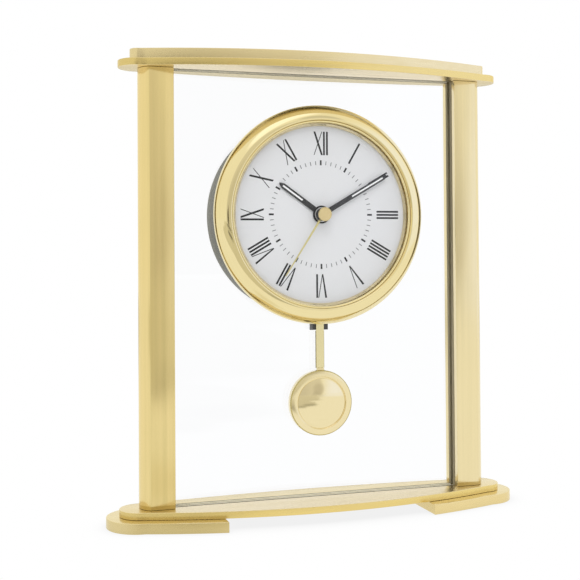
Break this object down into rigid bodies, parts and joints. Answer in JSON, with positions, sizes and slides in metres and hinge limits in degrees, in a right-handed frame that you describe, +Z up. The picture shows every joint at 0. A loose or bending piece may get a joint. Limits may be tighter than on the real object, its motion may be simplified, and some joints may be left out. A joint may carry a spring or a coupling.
{
  "type": "pendulum mantel clock",
  "caption": "Brass-framed mantel clock with a glass pane, a round dial set through it, battery movement with meshing wheels and a short swinging pendulum.",
  "frame": {"origin": "on the resting plane, under the middle of the clock's outer box", "axes": "+X to the viewer's right, -Y towards the viewer, who faces the dial, +Z up"},
  "size_m": [0.1992, 0.0509, 0.215],
  "materials": {
    "satin_brass": "satin lacquered",
    "polished_brass": "polished",
    "pale_brass": "pale satin",
    "clear_glass": "clear",
    "steel": "plain",
    "grey_plastic": "fine matt",
    "black_plastic": "matt",
    "white_plastic": "moulded",
    "dial_white": "matt cool white",
    "hand_charcoal": "matt charcoal paint",
    "gilt_seconds": "gilt",
    "black_rubber": "matt",
    "copper": "enamelled winding",
    "board_green": "solder mask",
    "cell_jacket": "plain jacket"
  },
  "bodies": {
    "clock": {"left_foot": "satin_brass", "right_foot": "satin_brass", "base_plate": "satin_brass", "left_post": "satin_brass", "right_post": "satin_brass", "top_plate": "satin_brass", "crown_plate": "satin_brass", "bezel": "polished_brass", "reflector_ring": "polished_brass", "centre_bush": "pale_brass", "glass_panel": "clear_glass", "crystal_lens": "clear_glass", "left_tie_bolt": "steel", "right_tie_bolt": "steel", "left_foot_screw": "steel", "right_foot_screw": "steel", "left_movement_screw": "steel", "right_movement_screw": "steel", "pivot_pin": "steel", "stator": "steel", "negative_contact": "steel", "positive_contact": "steel", "quartz_crystal": "steel", "front_housing": "grey_plastic", "rear_can": "grey_plastic", "movement_case": "black_plastic", "movement_lid": "black_plastic", "train_plate": "white_plastic", "dial_plate": "dial_white", "glass_gasket": "black_rubber", "motor_coil": "copper", "pendulum_coil": "copper", "circuit_board": "board_green", "battery": "cell_jacket"},
    "hour": {"hour_hand": "hand_charcoal", "hour_wheel": "white_plastic"},
    "minute": {"minute_hand": "hand_charcoal", "minute_pipe": "steel"},
    "seconds": {"seconds_hand": "gilt_seconds", "seconds_wheel": "white_plastic"},
    "minute_work": {"minute_work_wheel": "white_plastic", "setting_knob": "black_plastic"},
    "third": {"third_wheel": "white_plastic"},
    "centre": {"centre_wheel": "white_plastic"},
    "intermediate": {"intermediate_wheel": "white_plastic"},
    "rotor": {"rotor": "steel"},
    "pendulum": {"pendulum_hanger": "black_plastic", "pendulum_magnet": "steel", "pendulum_rod": "pale_brass", "pendulum_bob": "pale_brass"},
    "cover": {"rear_cover": "grey_plastic"}
  },
  "joints": [
    {"name": "minute_spin", "type": "hinge", "parent": "clock", "child": "minute", "pos_m": [0, 0, 0.1402], "axis": [0, 1, 0], "continuous": true},
    {"name": "hour_spin", "type": "hinge", "parent": "clock", "child": "hour", "pos_m": [0, 0, 0.1402], "axis": [0, 1, 0], "continuous": true},
    {"name": "minute_work_spin", "type": "hinge", "parent": "clock", "child": "minute_work", "pos_m": [0.009, 0, 0.1402], "axis": [0, 1, 0], "continuous": true},
    {"name": "seconds_spin", "type": "hinge", "parent": "clock", "child": "seconds", "pos_m": [0, 0, 0.1402], "axis": [0, 1, 0], "continuous": true},
    {"name": "third_spin", "type": "hinge", "parent": "clock", "child": "third", "pos_m": [-0.00601, 0, 0.14621], "axis": [0, 1, 0], "continuous": true},
    {"name": "centre_wheel_spin", "type": "hinge", "parent": "clock", "child": "centre", "pos_m": [0, 0, 0.1402], "axis": [0, 1, 0], "continuous": true},
    {"name": "intermediate_spin", "type": "hinge", "parent": "clock", "child": "intermediate", "pos_m": [-0.00246, 0, 0.13343], "axis": [0, 1, 0], "continuous": true},
    {"name": "rotor_spin", "type": "hinge", "parent": "clock", "child": "rotor", "pos_m": [-0.00895, 0, 0.13081], "axis": [0, 1, 0], "continuous": true},
    {"name": "pendulum_swing", "type": "hinge", "parent": "clock", "child": "pendulum", "pos_m": [0, 0, 0.1257], "axis": [0, 1, 0], "range_deg": [-6, 6]},
    {"name": "rear_cover_pull", "type": "slide", "parent": "clock", "child": "cover", "axis": [0, 1, 0], "range_m": [0, 0.03]}
  ],
  "couplings": [
    {"joint": "minute_work_spin", "follows": "minute_spin", "ratio": -0.33333},
    {"joint": "hour_spin", "follows": "minute_spin", "ratio": 0.083333},
    {"joint": "third_spin", "follows": "seconds_spin", "ratio": -0.13333},
    {"joint": "centre_wheel_spin", "follows": "seconds_spin", "ratio": 0.016667},
    {"joint": "intermediate_spin", "follows": "seconds_spin", "ratio": -5},
    {"joint": "rotor_spin", "follows": "seconds_spin", "ratio": 30}
  ]
}
